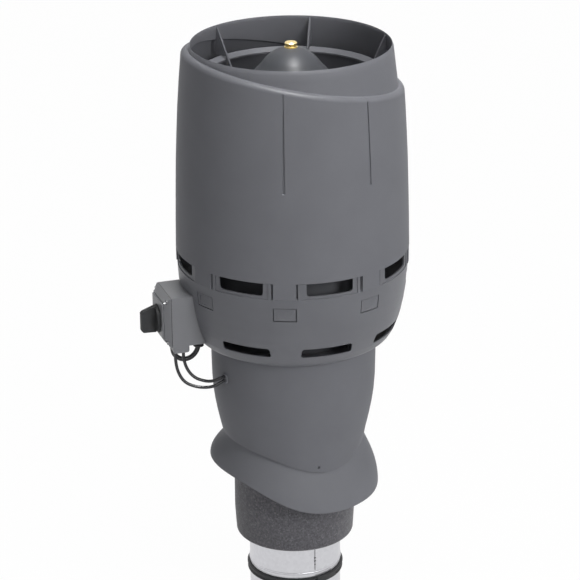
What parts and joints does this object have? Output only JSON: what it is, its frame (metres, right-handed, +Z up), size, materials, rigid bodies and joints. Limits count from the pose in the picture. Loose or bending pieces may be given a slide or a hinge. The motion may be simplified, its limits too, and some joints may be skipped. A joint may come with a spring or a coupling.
{
  "type": "roof exhaust fan",
  "caption": "Upright-discharge roof fan: tall round hood on a slotted bowl, vase-shaped body, flared skirt, insulated steel duct, switch box at the side.",
  "frame": {"origin": "centre of the steel duct's lower end", "axes": "+Z up the duct's axis, -Y the front, -X the side with the switch box"},
  "size_m": [0.4662, 0.3944, 1.003],
  "materials": {
    "galvanised_duct": "zinc-coated sheet, satin",
    "black_rubber": "matt",
    "foam": "open foam, matt",
    "moulded_shell": "moulded, satin",
    "inner_moulding": "moulded, matt",
    "nozzle_steel": "zinc-coated sheet",
    "brass": "turned, bright",
    "bright_steel": "zinc plated",
    "motor_aluminium": "die cast",
    "impeller_plastic": "glass-filled moulding",
    "box_plastic": "moulded, satin",
    "switch_plastic": "moulded",
    "knob_plastic": "moulded, fine grain",
    "cable_sheath": "smooth sheath"
  },
  "bodies": {
    "fan_body": {"duct_pipe": "galvanised_duct", "pipe_seal": "black_rubber", "insulation": "foam", "storm_skirt": "moulded_shell", "lower_body": "moulded_shell", "outlet_bowl": "moulded_shell", "fan_casing": "inner_moulding", "inlet_nozzle": "nozzle_steel", "inner_duct": "moulded_shell", "vane_ring": "moulded_shell", "motor_dome": "moulded_shell", "dome_nut": "brass", "motor_stud": "bright_steel", "motor_stator": "motor_aluminium", "motor_bearings": "bright_steel", "motor_screws": "bright_steel", "body_screws": "bright_steel", "body_nuts": "bright_steel", "box_base": "box_plastic", "box_lid": "box_plastic", "box_gasket": "black_rubber", "lid_screws": "box_plastic", "switch_bezel": "box_plastic", "switch_body": "switch_plastic", "cable_clamp": "box_plastic", "clamp_screws": "bright_steel", "supply_gland": "black_rubber", "supply_cable": "cable_sheath", "bowl_grommet": "black_rubber", "motor_cable_a": "cable_sheath", "motor_cable_b": "cable_sheath", "cable_grommet": "moulded_shell"},
    "hood": {"hood": "moulded_shell"},
    "rotor": {"motor_rotor": "motor_aluminium", "motor_shaft": "bright_steel", "impeller": "impeller_plastic", "impeller_shroud": "impeller_plastic", "impeller_screws": "bright_steel"},
    "knob": {"knob": "knob_plastic", "knob_spindle": "bright_steel"},
    "latch_1": {"latch_1": "moulded_shell"},
    "latch_2": {"latch_2": "moulded_shell"},
    "latch_3": {"latch_3": "moulded_shell"},
    "latch_4": {"latch_4": "moulded_shell"},
    "latch_5": {"latch_5": "moulded_shell"},
    "latch_6": {"latch_6": "moulded_shell"},
    "latch_7": {"latch_7": "moulded_shell"},
    "latch_8": {"latch_8": "moulded_shell"}
  },
  "joints": [
    {"name": "hood_lift", "type": "slide", "parent": "fan_body", "child": "hood", "axis": [0, 0, 1], "range_m": [0, 0.15]},
    {"name": "impeller_spin", "type": "hinge", "parent": "fan_body", "child": "rotor", "pos_m": [0, 0, 0.69], "axis": [0, 0, 1], "continuous": true},
    {"name": "knob_turn", "type": "hinge", "parent": "fan_body", "child": "knob", "pos_m": [-0.24, 0, 0.547], "axis": [-1, 0, 0], "range_deg": [0, 90]},
    {"name": "latch_1_press", "type": "hinge", "parent": "fan_body", "child": "latch_1", "pos_m": [0.07321, -0.17674, 0.6083], "axis": [0.9239, 0.3827, 0], "range_deg": [0, 8], "stiffness_Nm_per_rad": 0.5},
    {"name": "latch_2_press", "type": "hinge", "parent": "fan_body", "child": "latch_2", "pos_m": [0.17674, -0.07321, 0.6083], "axis": [0.3827, 0.9239, 0], "range_deg": [0, 8], "stiffness_Nm_per_rad": 0.5},
    {"name": "latch_3_press", "type": "hinge", "parent": "fan_body", "child": "latch_3", "pos_m": [0.17674, 0.07321, 0.6083], "axis": [-0.3827, 0.9239, 0], "range_deg": [0, 8], "stiffness_Nm_per_rad": 0.5},
    {"name": "latch_4_press", "type": "hinge", "parent": "fan_body", "child": "latch_4", "pos_m": [0.07321, 0.17674, 0.6083], "axis": [-0.9239, 0.3827, 0], "range_deg": [0, 8], "stiffness_Nm_per_rad": 0.5},
    {"name": "latch_5_press", "type": "hinge", "parent": "fan_body", "child": "latch_5", "pos_m": [-0.07321, 0.17674, 0.6083], "axis": [-0.9239, -0.3827, 0], "range_deg": [0, 8], "stiffness_Nm_per_rad": 0.5},
    {"name": "latch_6_press", "type": "hinge", "parent": "fan_body", "child": "latch_6", "pos_m": [-0.17674, 0.07321, 0.6083], "axis": [-0.3827, -0.9239, 0], "range_deg": [0, 8], "stiffness_Nm_per_rad": 0.5},
    {"name": "latch_7_press", "type": "hinge", "parent": "fan_body", "child": "latch_7", "pos_m": [-0.17674, -0.07321, 0.6083], "axis": [0.3827, -0.9239, 0], "range_deg": [0, 8], "stiffness_Nm_per_rad": 0.5},
    {"name": "latch_8_press", "type": "hinge", "parent": "fan_body", "child": "latch_8", "pos_m": [-0.07321, -0.17674, 0.6083], "axis": [0.9239, -0.3827, 0], "range_deg": [0, 8], "stiffness_Nm_per_rad": 0.5}
  ]
}
